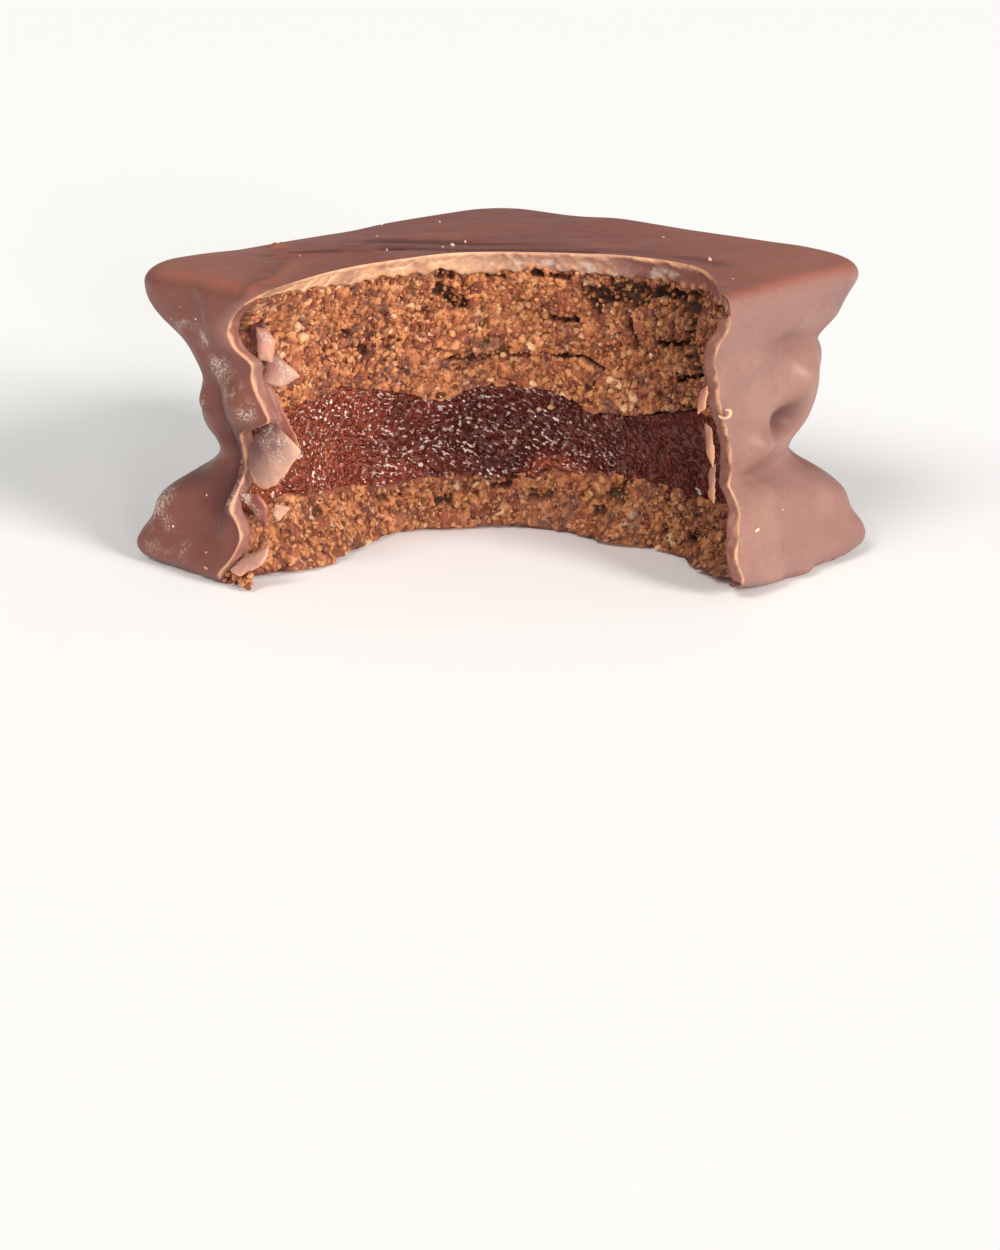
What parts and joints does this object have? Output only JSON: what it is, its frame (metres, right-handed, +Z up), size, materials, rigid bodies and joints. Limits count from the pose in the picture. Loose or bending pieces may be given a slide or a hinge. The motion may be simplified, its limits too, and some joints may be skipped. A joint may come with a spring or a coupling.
{
  "type": "alfajor cookie",
  "caption": "Square chocolate-coated sandwich biscuit with a thick dark filling and one corner bitten off, showing every layer.",
  "frame": {"origin": "middle of the base, on the surface that the cookie stands on", "axes": "+Z up; the sides run along X and Y; the bitten corner is at +X, -Y"},
  "size_m": [0.0548, 0.0546, 0.0303],
  "materials": {
    "chocolate": "satin milk chocolate with slight fat bloom",
    "biscuit": "matt, coarse almond-meal crumb",
    "filling": "wet gloss, sticky"
  },
  "bodies": {
    "root": {"chocolate_coat": "chocolate", "biscuit_upper": "biscuit", "filling": "filling", "biscuit_lower": "biscuit"}
  },
  "joints": []
}
